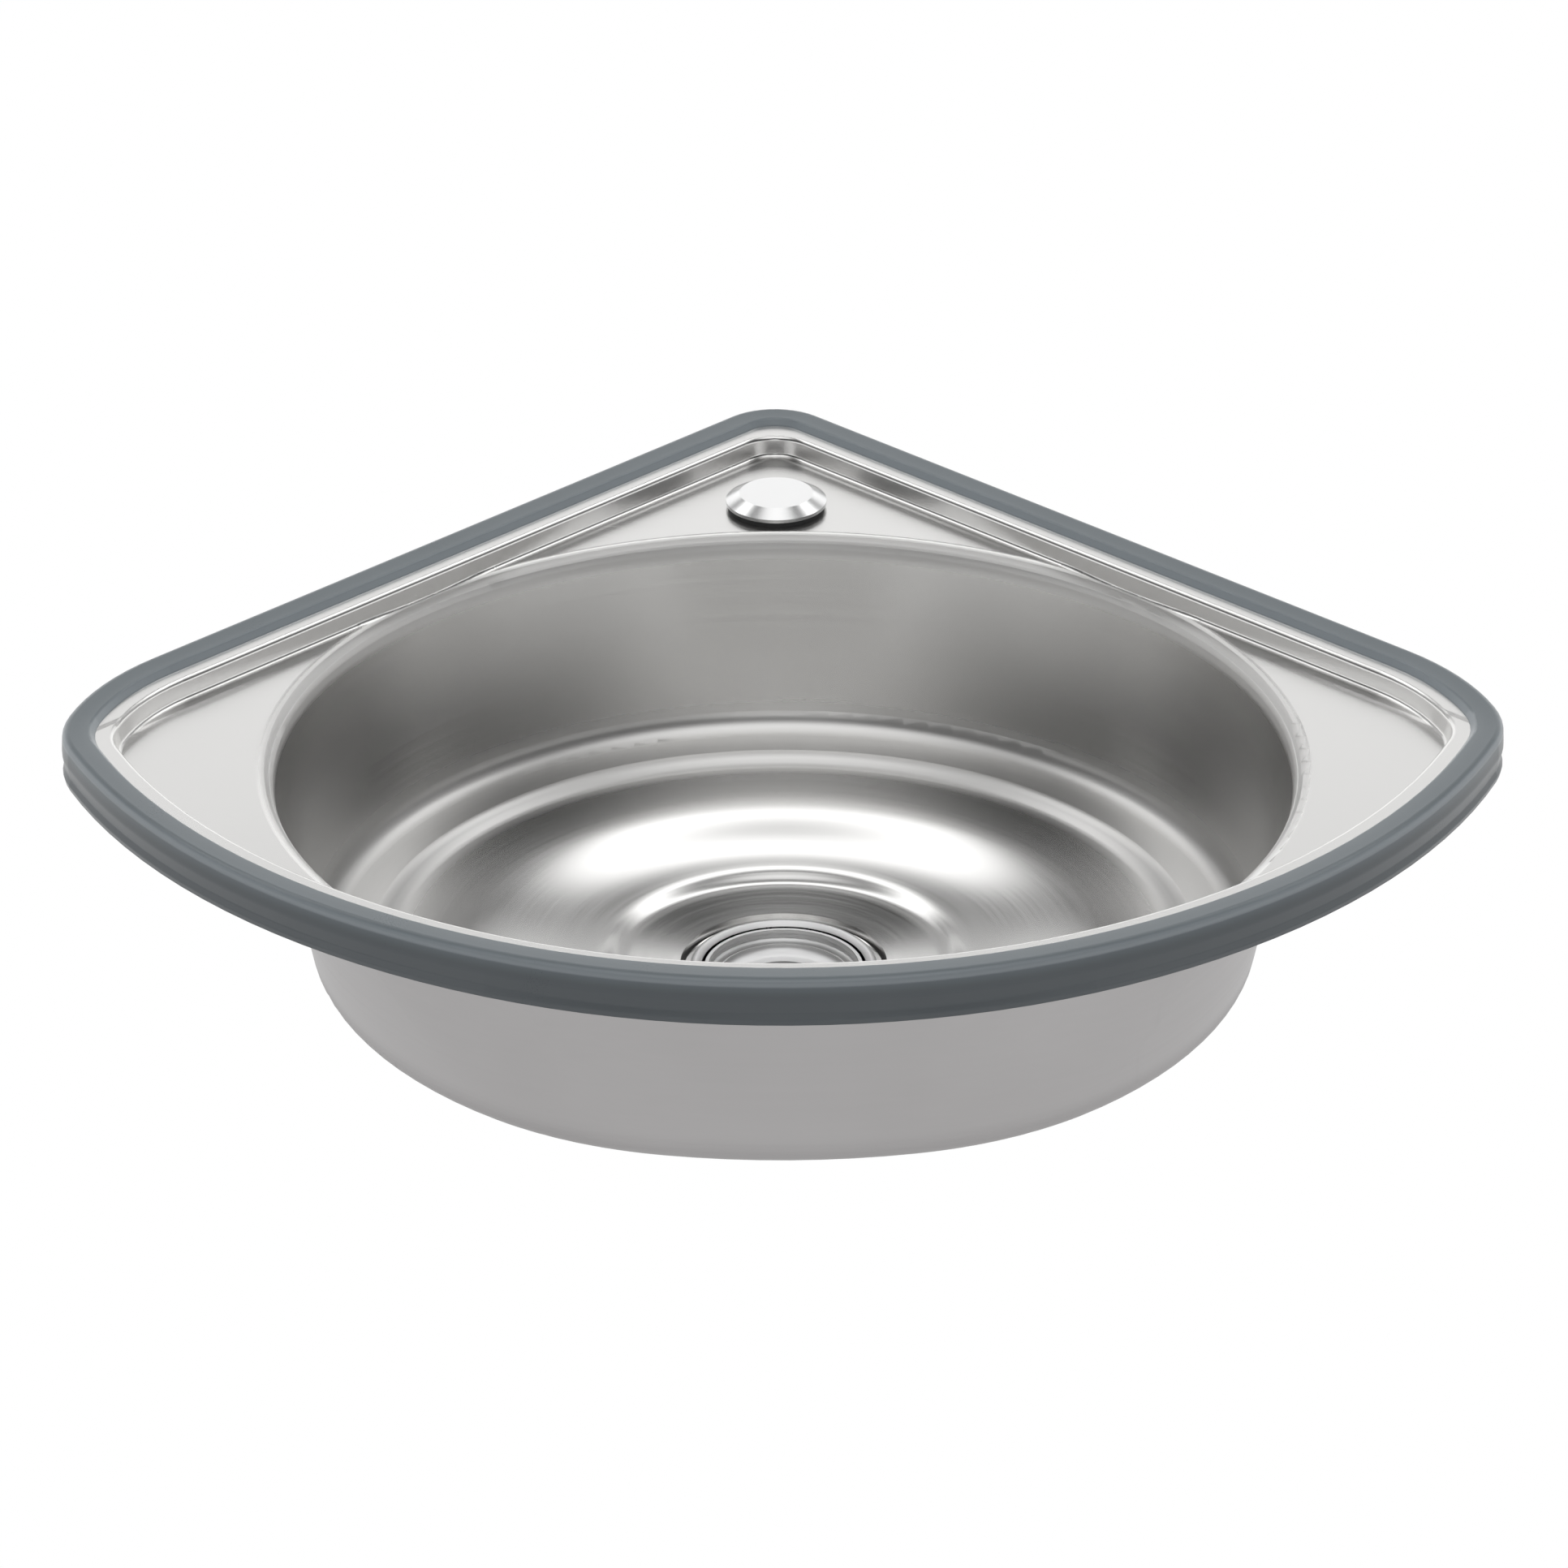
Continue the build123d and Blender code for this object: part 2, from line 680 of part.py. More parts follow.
def hold_down_studs():
    """Stud on a square pad that is welded under the deck."""
    pad = Box(stud_pad, stud_pad, stud_pad_thickness, align=(Align.CENTER, Align.CENTER, Align.MAX))
    pad = fillet(pad.edges().filter_by(Axis.Z), 2.0)
    shank = Cylinder(
        stud_radius, stud_length + stud_pad_thickness, align=(Align.CENTER, Align.CENTER, Align.MAX)
    )
    shank = chamfer(shank.edges().sort_by(Axis.Z)[0], stud_radius / 5)
    return at_stations(Pos(0, 0, deck_underside) * (pad + shank))


def stud_spacers():
    """Distance bush between the pad and the rail."""
    return at_stations(ring(
        stud_radius + hole_clearance, spacer_radius, rail_top, deck_underside - stud_pad_thickness
    ))


def hold_down_washers():
    under = rail_top - rail_steel
    return at_stations(ring(
        stud_radius + hole_clearance / 2, washer_radius, under - washer_thickness, under
    ))


def hold_down_wing_nuts():
    return at_stations(Pos(0, 0, rail_top - rail_steel - washer_thickness) * wing_nut(stud_radius))


def main():
    os.makedirs("parts", exist_ok=True)
    rail_right, rail_left = both_walls(wall_rail())
    gasket_drop = lower_gasket_thickness
    parts = {
        "sink_bowl": sink_bowl(),
        "rim_trim": rim_trim(),
        "tap_hole_cover": tap_hole_cover(),
        "cover_gasket": cover_gasket(),
        "cover_stud": cover_stud(),
        "cover_backing_washer": cover_backing_washer(),
        "cover_wing_nut": cover_wing_nut(),
        "waste_flange": waste_flange(),
        "waste_gasket_upper": waste_gasket_upper(),
        "waste_gasket_lower": under_seat(0, lower_gasket_thickness, lower_gasket_radius),
        "waste_friction_washer": under_seat(
            gasket_drop, friction_washer_thickness, friction_washer_radius
        ),
        "waste_lock_nut": lock_nut(),
        "strainer_basket": strainer_basket(),
        "strainer_post": strainer_post(),
        "strainer_seal": strainer_seal(),
        "strainer_post_clip": post_clip(),
        "wall_rail_right": rail_right,
        "wall_rail_left": rail_left,
        "hold_down_studs": hold_down_studs(),
        "stud_spacers": stud_spacers(),
        "hold_down_washers": hold_down_washers(),
        "hold_down_wing_nuts": hold_down_wing_nuts(),
    }
    for name, shape in parts.items():
        export_step(shape, f"parts/{name}.step")


main()
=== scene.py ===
# %% [markdown]
# # A corner sink of pressed steel
# The sink hangs in the corner of a room. Its pieces come from the packed frame at their
# real size, in metres. The origin is the wall corner at the height of the steel rim, the
# bowl's axis stands 314 mm in front of it, and the front of the sink points towards -Y.
# This notebook turns the bowl's floor again on a finer wheel, cuts the screw threads that
# the frame leaves plain, gives every piece its finish, and sets the light and the camera.

# %% Load the frame
import math

import bmesh
import bpy
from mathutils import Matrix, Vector


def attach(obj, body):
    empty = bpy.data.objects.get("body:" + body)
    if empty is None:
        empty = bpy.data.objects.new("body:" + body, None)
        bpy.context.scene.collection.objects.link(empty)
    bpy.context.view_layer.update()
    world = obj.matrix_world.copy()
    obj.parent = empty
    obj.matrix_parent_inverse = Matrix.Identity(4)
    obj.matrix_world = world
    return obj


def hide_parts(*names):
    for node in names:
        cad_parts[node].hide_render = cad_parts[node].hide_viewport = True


MM = 0.001
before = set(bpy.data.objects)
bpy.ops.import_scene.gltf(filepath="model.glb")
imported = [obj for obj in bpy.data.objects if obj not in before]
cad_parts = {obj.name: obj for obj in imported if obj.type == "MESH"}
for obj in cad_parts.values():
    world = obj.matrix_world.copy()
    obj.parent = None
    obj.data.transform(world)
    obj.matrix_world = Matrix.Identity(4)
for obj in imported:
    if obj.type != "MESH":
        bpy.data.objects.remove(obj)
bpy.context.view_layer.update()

# %% [markdown]
# ## Writing a shader as sums
# A material is a graph of nodes, and a long graph is easier to read as Python. `Wire` wraps
# one socket, so that `1 - mask * 0.3` adds the Math nodes by itself. Python calls a
# reflected form, such as `__rsub__`, where a plain number comes first.

# %% Sockets with arithmetic
class Wire:
    """One output socket, with the sums that the finishes use."""

    def __init__(self, graph, socket):
        self.graph = graph
        self.socket = socket

    def math(self, operation, other=0.0):
        return self.graph.node("ShaderNodeMath", {"operation": operation}, {0: self, 1: other})

    def flipped(self, operation, other):
        return self.graph.node("ShaderNodeMath", {"operation": operation}, {0: other, 1: self})

    def __add__(self, other):
        return self.math("ADD", other)

    def __radd__(self, other):
        return self.flipped("ADD", other)

    def __sub__(self, other):
        return self.math("SUBTRACT", other)

    def __rsub__(self, other):
        return self.flipped("SUBTRACT", other)

    def __mul__(self, other):
        return self.math("MULTIPLY", other)

    def __rmul__(self, other):
        return self.flipped("MULTIPLY", other)

    def __truediv__(self, other):
        return self.math("DIVIDE", other)

    def __pow__(self, other):
        return self.math("POWER", other)

    def __abs__(self):
        return self.math("ABSOLUTE")

    def highest(self, *others):
        """The highest of this value and the others."""
        top = self
        for other in others:
            top = top.math("MAXIMUM", other)
        return top

    def smooth(self, low, high):
        """0 at low, 1 at high, with a soft step between them."""
        return self.graph.node(
            "ShaderNodeMapRange", {"interpolation_type": "SMOOTHSTEP"},
            {"Value": self, "From Min": low, "From Max": high},
        )

    def band(self, low, high, soft):
        """1 between low and high, 0 outside, with soft edges inside the band."""
        return self.smooth(low, low + soft) * (1 - self.smooth(high - soft, high))


print("Wire has", sum(callable(part) for part in vars(Wire).values()), "methods")

# %% [markdown]
# Every other node comes from `Graph.node`, which takes its type, its settings and what goes
# into its sockets. The settings come first, because some of them change which sockets a node
# has. The Mix node keeps a pair of sockets for each kind of value, so those of its colours
# are picked by number.

# %% Node trees
MIX_FIRST, MIX_SECOND, MIXED_COLOUR = 6, 7, 2


class Graph:
    """A node tree that is filled from expressions."""

    def __init__(self, tree):
        self.tree = tree

    def node(self, kind, settings=None, inputs=None, output=0):
        """Adds a node and gives one of its outputs, or nothing where it has none."""
        made = self.tree.nodes.new(kind)
        for name, value in (settings or {}).items():
            setattr(made, name, value)
        for name, value in (inputs or {}).items():
            if isinstance(value, Wire):
                self.tree.links.new(value.socket, made.inputs[name])
            else:
                made.inputs[name].default_value = value
        return Wire(self, made.outputs[output]) if len(made.outputs) else None

    def split(self, vector):
        """The x, y and z of a vector."""
        parts = self.node("ShaderNodeSeparateXYZ", inputs={0: vector}).socket.node
        return [Wire(self, socket) for socket in parts.outputs]

    def join(self, x, y, z):
        """A vector from its three parts."""
        return self.node("ShaderNodeCombineXYZ", inputs={0: x, 1: y, 2: z})

    def noise(self, where, scale, detail=3.0, roughness=0.5):
        """Soft noise between 0 and 1."""
        return self.node(
            "ShaderNodeTexNoise",
            inputs={"Vector": where, "Scale": scale, "Detail": detail, "Roughness": roughness},
        )

    def blend(self, amount, first, second):
        """A colour: first where the amount is 0, second where it is 1."""
        first, second = (c if isinstance(c, Wire) else (*c, 1.0) for c in (first, second))
        return self.node(
            "ShaderNodeMix", {"data_type": "RGBA"},
            {0: amount, MIX_FIRST: first, MIX_SECOND: second}, output=MIXED_COLOUR,
        )


print("Graph has", sum(callable(part) for part in vars(Graph).values()), "methods")

# %% [markdown]
# ## A base for every finish
# A finish starts as a Principled shader whose steady values are set on its own sockets. What
# changes over the surface is linked instead: colour, roughness and the bump. Where both are
# given, the steady value is only what a viewer without nodes shows. Places on the piece and
# heights for the bump are in millimetres, like those of the real marks.

# %% Finish
class Finish(Graph):
    """A material under construction."""

    def __init__(self, name, **steady):
        self.material = bpy.data.materials.new(name)
        self.material.use_nodes = True
        super().__init__(self.material.node_tree)
        self.shader = self.tree.nodes["Principled BSDF"]
        for socket, value in steady.items():
            self.shader.inputs[socket.replace("_", " ")].default_value = value
        self.place = self.node("ShaderNodeTexCoord", output="Object")
        self.x, self.y, self.z = (part * (1 / MM) for part in self.split(self.place))

    def show(self, **varying):
        """Links what changes over the surface."""
        for socket, wire in varying.items():
            self.tree.links.new(wire.socket, self.shader.inputs[socket.replace("_", " ")])

    def bump(self, height):
        """Tilts the surface by a height in millimetres."""
        self.show(Normal=self.node(
            "ShaderNodeBump", inputs={"Strength": 1.0, "Distance": MM, "Height": height}
        ))


def dress(finish, *nodes):
    """Gives CAD nodes a finish."""
    for name in nodes:
        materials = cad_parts[name].data.materials
        materials.clear()
        materials.append(finish.material)
    print(finish.material.name, "on", ", ".join(nodes))


# %% [markdown]
# ## Pressed stainless steel
# The sink is one pressed sheet of stainless steel. Steel is a metal shader with a pale,
# slightly warm colour. Its look comes from the grain: the bowl was polished on a turning
# table, so its grain runs in rings round the bowl's axis, and the deck was polished
# straight. Such a grain is noise that is stretched along the rings, and as a bump it
# draws each highlight out across the rings, as fine scratches do.

# %% Steel: where on the sink
BOWL_Y = -314.0
DECK_DEPTH = 8.0

steel = Finish("satin_steel", Metallic=1.0, Roughness=0.2, Base_Color=(0.72, 0.715, 0.705, 1.0))
from_axis = steel.y - BOWL_Y
radius = (steel.x * steel.x + from_axis * from_axis) ** 0.5
turn = from_axis.math("ARCTAN2", steel.x)
below_rim = 0 - steel.z
in_bowl = below_rim.smooth(DECK_DEPTH + 0.5, DECK_DEPTH + 3.0)
print("bowl axis at y =", BOWL_Y, "mm, deck", DECK_DEPTH, "mm below the rim")

# %% Steel: grain
GRAIN_SCALE = 0.6
GRAIN_ROUGHNESS = 0.6
PER_RADIAN = 1.5
DECK_STRETCH = 0.02

ring_place = steel.join(turn * PER_RADIAN, radius, steel.z)
deck_place = steel.join(steel.x * DECK_STRETCH, steel.y, steel.z)
ring_grain = steel.noise(ring_place, GRAIN_SCALE, roughness=GRAIN_ROUGHNESS)
straight_grain = steel.noise(deck_place, GRAIN_SCALE, roughness=GRAIN_ROUGHNESS)
grain = ring_grain * in_bowl + straight_grain * (1 - in_bowl)
cloud = steel.noise(steel.place, scale=9.0)
print("a deck scratch is about", round(1 / (DECK_STRETCH * GRAIN_SCALE)), "mm long")

# %% [markdown]
# ## The sheet, with a finely turned floor
# The frame's sheet is made of triangles that are as coarse as its tolerance allows, and a
# polished floor shows each of them as a ragged edge in its highlights. The floor is round,
# so it can be turned again on a finer wheel: the corners of the frame's triangles lie
# exactly on the true surface, and together they give its profile. Round the floor, from the
# flat ledge outwards, the sheet keeps the frame's own triangles and normals.

# %% Places round the bowl
SEAM_RADIUS = 162.65
FLOOR_LEVEL = -85.0

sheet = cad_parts["sink_bowl"].data


def polar(point):
    """Radius and angle round the bowl's axis, and height, in millimetres and radians."""
    across, away = point[0] / MM, point[1] / MM - BOWL_Y
    return math.hypot(across, away), math.atan2(away, across), point[2] / MM


def outward(normal, angle):
    """How far a normal at an angle round the axis points away from it."""
    return normal.x * math.cos(angle) + normal.y * math.sin(angle)


def on_floor(point):
    """Whether a point of the frame lies on the floor, inside the seam."""
    return polar(point)[0] < SEAM_RADIUS and point[2] < FLOOR_LEVEL * MM


print("corners on the floor:", sum(on_floor(corner.co) for corner in sheet.vertices))

# %% [markdown]
# A row of the profile holds a radius, a height and the normals found there. Rows closer
# together than the finest step add nothing, apart from a sharp edge, which has normals that
# disagree, and the last row at the waste hole.

# %% Floor profile
FINEST_STEP = 0.35
LEAN = 0.2
SHARP = 0.97


def floor_profile(side):
    """Rows from the seam to the waste hole; side is 1 on top of the sheet and -1 below it."""
    found = {}
    for corner, normal in zip(sheet.loops, sheet.corner_normals):
        reach, angle, height = polar(sheet.vertices[corner.vertex_index].co)
        upwards = normal.vector.z
        if reach < SEAM_RADIUS and height < FLOOR_LEVEL and upwards * side > LEAN:
            row = found.setdefault(round(reach, 2), [reach, height, []])
            row[2].append((outward(normal.vector, angle), upwards))
    rows = [found[key] for key in sorted(found, reverse=True)]
    kept = rows[:1]
    for row in rows[1:]:
        first = row[2][0]
        sharp = min(first[0] * other[0] + first[1] * other[1] for other in row[2]) < SHARP
        if kept[-1][0] - row[0] > FINEST_STEP or sharp or row is rows[-1]:
            kept.append(row)
    return kept


top_rows, under_rows = floor_profile(1), floor_profile(-1)
print("floor profile:", len(top_rows), "points on top,", len(under_rows), "below")

# %% [markdown]
# Neighbouring rows are joined by a smooth curve that leaves and meets them at the slopes of
# their normals, and a long join gets stations on the way. At a sharp edge, each join takes
# the normal that suits it.

# %% Floor stations
WIDEST_STEP = 1.5
WHEEL_STEPS = 216


def curve_height(t, gap, start, end):
    """Height at part t of a join; start and end are a height and a slope each."""
    return (
        (2 * t**3 - 3 * t**2 + 1) * start[0] + (t**3 - 2 * t**2 + t) * gap * start[1]
        + (3 * t**2 - 2 * t**3) * end[0] + (t**3 - t**2) * gap * end[1]
    )


def nearest(normals, wanted):
    """The normal that points most nearly the wanted way."""
    return max(normals, key=lambda normal: normal[0] * wanted[0] + normal[1] * wanted[1])


def stations(rows):
    """The joins between rows, each a pair of stations with a radius, a height and a normal."""
    joins = []
    for (r0, z0, normals0), (r1, z1, normals1) in zip(rows, rows[1:]):
        length = math.hypot(r1 - r0, z1 - z0)
        side = 1.0 if normals0[0][1] > 0 else -1.0
        across = ((z1 - z0) / length * side, (r0 - r1) / length * side)
        first, last = nearest(normals0, across), nearest(normals1, across)
        start, end = (z0, -first[0] / first[1]), (z1, -last[0] / last[1])
        gap = r1 - r0
        pieces = max(1, round(length / WIDEST_STEP))
        stops = []
        for step in range(pieces + 1):
            t = step / pieces
            mixed = [a + (b - a) * t for a, b in zip(first, last)]
            reach = math.hypot(*mixed)
            normal = (mixed[0] / reach, mixed[1] / reach)
            stops.append((r0 + gap * t, curve_height(t, gap, start, end), normal))
        joins += list(zip(stops, stops[1:]))
    return joins


inwards = (-1.0, 0.0)
hole_wall = tuple((row[0], row[1], inwards) for row in (top_rows[-1], under_rows[-1]))
under_joins = [(far, near) for near, far in reversed(stations(under_rows))]
joins = stations(top_rows)[1:] + [hole_wall] + under_joins[:-1]
print("turned floor:", len(joins), "joins, each in", WHEEL_STEPS, "steps")

# %% [markdown]
# The new mesh is three lists: points, faces, and a normal for every corner of every face.
# Points that coincide, on a grid of a ten-thousandth of a millimetre, share a number, so the
# parts grow together as they are added. The triangles of the frame that lie wholly on the
# floor are left out, and the corners where the others end are remembered as the seam.

# %% Sheet: the frame's part
STEPS_PER_METRE = 1e7

points, faces, normals = [], [], []
seam = {1: {}, -1: {}}
numbers = {}


def number(point):
    """The number of a point in the mesh, the same for points that coincide."""
    key = tuple(round(value * STEPS_PER_METRE) for value in point)
    if key not in numbers:
        numbers[key] = len(points)
        points.append(tuple(point))
    return numbers[key]


def add_face(corners, corner_normals):
    """Adds a face and turns it to the side that its normals point to."""
    a, b, c = (Vector(points[corner]) for corner in corners[:3])
    if (b - a).cross(c - b).dot(Vector(corner_normals[0])) < 0:
        corners, corner_normals = corners[::-1], corner_normals[::-1]
    faces.append(corners)
    normals.extend(corner_normals)


for polygon in sheet.polygons:
    places = [sheet.vertices[i].co for i in polygon.vertices]
    if all(on_floor(place) for place in places):
        continue
    corners = [number(place) for place in places]
    if len(set(corners)) < 3:
        continue
    add_face(corners, [tuple(sheet.corner_normals[i].vector) for i in polygon.loop_indices])
    side = 1 if polygon.normal.z > 0 else -1
    for place, corner in zip(places, corners):
        if on_floor(place):
            seam[side][corner] = polar(place)[1]
print("kept from the frame:", len(faces), "faces; seam corners:", len(seam[1]), len(seam[-1]))

# %% Sheet: the turned part
wheel = [2 * math.pi * step / WHEEL_STEPS - math.pi for step in range(WHEEL_STEPS)]


def ring(station):
    """The numbers of the points of one ring."""
    r, z, _ = station
    return [number((r * MM * math.cos(a), (BOWL_Y + r * math.sin(a)) * MM, z * MM)) for a in wheel]


def facing(station, step):
    """The normal of a station at one step of the wheel."""
    outwards, upwards = station[2]
    angle = wheel[step % WHEEL_STEPS]
    return (outwards * math.cos(angle), outwards * math.sin(angle), upwards)


for near, far in joins:
    near_ring, far_ring = ring(near), ring(far)
    for step in range(WHEEL_STEPS):
        after = (step + 1) % WHEEL_STEPS
        add_face(
            [near_ring[step], near_ring[after], far_ring[after], far_ring[step]],
            [facing(near, step), facing(near, after), facing(far, after), facing(far, step)],
        )
print("with the turned floor:", len(faces), "faces")

# %% [markdown]
# The seam's corners stand unevenly round the ledge, and the first ring stands evenly. Both
# lie on flat ground, so the strip between them closes by walking round it: each step adds a
# triangle to whichever side is behind.

# %% Sheet: the seam
def angle_after(around, place):
    """The angle of the next corner, counted on past a full turn."""
    laps, index = divmod(place + 1, len(around))
    return around[index][0] + 2 * math.pi * laps


def stitch(side, station):
    """Closes the flat strip between the seam's corners and the first ring."""
    outer = sorted((angle, corner) for corner, angle in seam[side].items())
    inner = list(zip(wheel, ring(station)))
    flat = [(0.0, 0.0, float(side))] * 3
    i = j = 0
    while i < len(outer) or j < len(inner):
        ends = [outer[i % len(outer)][1], inner[j % len(inner)][1]]
        outer_is_behind = i < len(outer) and angle_after(outer, i) <= angle_after(inner, j)
        if j == len(inner) or outer_is_behind:
            i += 1
            third = outer[i % len(outer)][1]
        else:
            j += 1
            third = inner[j % len(inner)][1]
        add_face(ends + [third], flat)


stitch(1, joins[0][0])
stitch(-1, joins[-1][1])
print("with the seam:", len(faces), "faces")

# %% [markdown]
# The underside of the sheet is rough, as it came from the mill, and its colour is darkened
# as painted shade. Each face gets a number that says whether it belongs there: it looks down,
# or it lies on the outside of the bowl, which is below the deck and looks away from the axis.
# The finish reads that number.

# %% Sheet: the piece
UNDER_DECK = -9.0
BOWL_REACH = 206.0

sheet_mesh = bpy.data.meshes.new("pressed_sheet")
sheet_mesh.from_pydata(points, [], faces)
sheet_mesh.polygons.foreach_set("use_smooth", [True] * len(faces))
sheet_mesh.normals_split_custom_set(normals)
underside = sheet_mesh.attributes.new("underside", "FLOAT", "FACE")
for polygon, mark in zip(sheet_mesh.polygons, underside.data):
    reach, angle, height = polar(polygon.center)
    looks_away = outward(polygon.normal, angle) > LEAN
    outside_bowl = height < UNDER_DECK and reach < BOWL_REACH and looks_away
    mark.value = float(polygon.normal.z < -LEAN or outside_bowl)
pressed_sheet = bpy.data.objects.new("pressed_sheet", sheet_mesh)
bpy.context.scene.collection.objects.link(pressed_sheet)
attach(pressed_sheet, "sink")
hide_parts("sink_bowl")
print("sheet:", len(points), "corners,", len(faces), "faces")

# %% [markdown]
# The press left more than the frame shows. A shallow step runs along the foot of the
# recess wall round the corner and again near the tips, where the sheet was drawn in.
# It is a quarter of a millimetre high, so it is a bump and not a shape. The walls stand at
# 45 degrees to the axes, so the distances from a wall and along it are the sum and the
# difference of x and y, times the sine of 45 degrees.

# %% Steel: press marks
MARK_HEIGHT = 0.25
DIAGONAL = math.sqrt(0.5)

from_wall = (abs(steel.x) + steel.y) * -DIAGONAL
along_wall = (abs(steel.x) - steel.y) * DIAGONAL
near_corner = 1 - along_wall.smooth(90.0, 190.0)
near_tip = along_wall.smooth(300.0, 345.0)
corner_step = (1 - from_wall.smooth(24.0, 27.0)) * near_corner
tip_step = (1 - from_wall.smooth(27.0, 30.5)) * near_tip
press_marks = (corner_step + tip_step) * MARK_HEIGHT * (1 - in_bowl)
print("press marks are", MARK_HEIGHT, "mm high")

# %% [markdown]
# The reflections in the real floor run in from the ledge to the drain as in a deep, soft
# dish. The frame's floor is stepped and flatter, so two more slopes tilt its reflections: one
# across the wide ring of the floor, and one across the drain disc.

# %% Steel: slopes of the floor
DISH_RISE = 6.2
DISC_RISE = 1.4

dish = steel.node(
    "ShaderNodeMapRange", {"interpolation_type": "SMOOTHERSTEP"},
    {"Value": radius, "From Min": 72.0, "From Max": 134.0, "To Max": DISH_RISE},
)
disc = steel.node(
    "ShaderNodeMapRange",
    inputs={"Value": radius, "From Min": 37.0, "From Max": 63.0, "To Max": DISC_RISE},
)
floor_slopes = (dish + disc) * in_bowl
print("slopes rise", DISH_RISE, "and", DISC_RISE, "mm")

# %% [markdown]
# The polish isn't even. It is rougher on the ledge, finer on the drain disc, and missing on
# the underside. The bowl's lip is rougher too, which also hides the coarse triangles that
# the frame has there.

# %% Steel: together
at_ledge = radius.band(146.0, 200.0, 8.0) * below_rim.smooth(74.0, 84.0)
on_disc = (1 - radius.smooth(59.0, 63.0)) * in_bowl
at_lip = below_rim.smooth(DECK_DEPTH, DECK_DEPTH + 0.5) * (1 - below_rim.smooth(14.0, 18.0))
mill_finish_and_shade = steel.node("ShaderNodeAttribute", {"attribute_name": "underside"}, output="Fac")

evenly = grain * 0.08 + cloud * 0.04 + 0.19
bright = steel.blend(grain * 0.5 + cloud * 0.5, (0.69, 0.685, 0.675), (0.77, 0.765, 0.755))
# Painted shade: the underside and the outside of the bowl get a darker colour; their extra roughness
# is the mill finish.
painted_underside_shade = steel.blend(cloud, (0.38, 0.37, 0.37), (0.46, 0.45, 0.45))
steel.show(
    Roughness=evenly + mill_finish_and_shade * 0.15 + at_ledge * 0.16 + at_lip * 0.3 - on_disc * 0.09,
    Base_Color=steel.blend(mill_finish_and_shade, bright, painted_underside_shade),
)
steel.bump(grain * 0.003 + press_marks + floor_slopes)
pressed_sheet.data.materials.append(steel.material)
print(steel.material.name, "on", pressed_sheet.name)

# %% [markdown]
# ## Polished and turned steel
# The cap and the knob of the basket are polished. The waste and the basket are turned, and
# rougher. Both are paler than the sheet and show the fine rings that the lathe leaves, which
# are noise that changes only with the distance from the bowl's axis and with the height.

# %% Polished and turned steel
def lathe_steel(name, roughness, tone):
    """Bright steel with fine rings round the bowl's axis."""
    metal = Finish(name, Metallic=1.0, Roughness=roughness, Base_Color=(tone, tone, tone, 1.0))
    away = metal.y - BOWL_Y
    reach = (metal.x * metal.x + away * away) ** 0.5
    rings = metal.noise(metal.join(reach, metal.z, 0.0), scale=2.6, detail=2.0)
    haze = metal.noise(metal.place, scale=60.0, detail=4.0)
    metal.show(
        Roughness=haze * 0.06 + rings * 0.06 + (roughness - 0.06),
        Base_Color=metal.blend(rings * 0.6 + haze * 0.4, [tone - 0.06] * 3, [tone + 0.05] * 3),
    )
    metal.bump(rings * 0.004)
    return metal


polished = lathe_steel("polished_steel", roughness=0.24, tone=0.82)
turned = lathe_steel("turned_steel", roughness=0.5, tone=0.84)
dress(polished, "tap_hole_cover", "strainer_post")
dress(turned, "strainer_basket")

# %% [markdown]
# ## Rubber
# The strip round the rim is moulded slate-grey rubber with a silky skin. Its face is coloured
# darker than its top as painted shade, and the ridge between them carries a painted pale
# highlight. A fine grain breaks up the highlights, and the grey drifts a little along the strip.

# %% Grey rubber
# The colour of a painted highlight along the ridge of the strip.
PAINTED_RIDGE_HIGHLIGHT = (0.36, 0.4, 0.43)

rubber = Finish("slate_rubber", Roughness=0.3, Base_Color=(0.15, 0.18, 0.2, 1.0))
pores = rubber.noise(rubber.place, scale=2400.0, detail=2.0)
drift = rubber.noise(rubber.place, scale=25.0, detail=2.0)
# Painted shade: below the top the face is coloured darker, and the top lighter, as if lit from above.
lit_top_mask = rubber.z.smooth(-4.0, 1.0)
# Painted highlight: a pale band of colour along the ridge between the top and the face.
ridge_highlight_mask = rubber.z.band(-0.4, 3.0, 1.0)
shaded_face_paint = rubber.blend(drift, (0.095, 0.112, 0.125), (0.12, 0.138, 0.15))
lit_top_paint = rubber.blend(drift, (0.15, 0.178, 0.195), (0.18, 0.212, 0.232))
painted_top_and_face_shade = rubber.blend(lit_top_mask, shaded_face_paint, lit_top_paint)
rubber.show(
    Roughness=pores * 0.05 + drift * 0.05 + 0.24,
    Base_Color=rubber.blend(ridge_highlight_mask * 0.8, painted_top_and_face_shade, PAINTED_RIDGE_HIGHLIGHT),
)
rubber.bump(pores * 0.006)
dress(rubber, "rim_trim")

# %% [markdown]
# The seals are matt black rubber. Specks, a little paler and raised, keep them from looking
# like holes.

# %% Black rubber of the seals
black = Finish("black_rubber", Roughness=0.6, Base_Color=(0.02, 0.02, 0.02, 1.0))
specks = black.noise(black.place, scale=700.0)
black.show(Base_Color=black.blend(specks, (0.015, 0.015, 0.016), (0.035, 0.035, 0.037)))
black.bump(specks * 0.04)
dress(black, "cover_gasket", "waste_gasket_upper", "waste_gasket_lower", "strainer_seal")

# %% [markdown]
# ## Zinc-plated steel
# Rails, studs, washers and nuts are zinc plated: a pale metal with a faint crystal bloom,
# which is noise in the colour and in the roughness together.

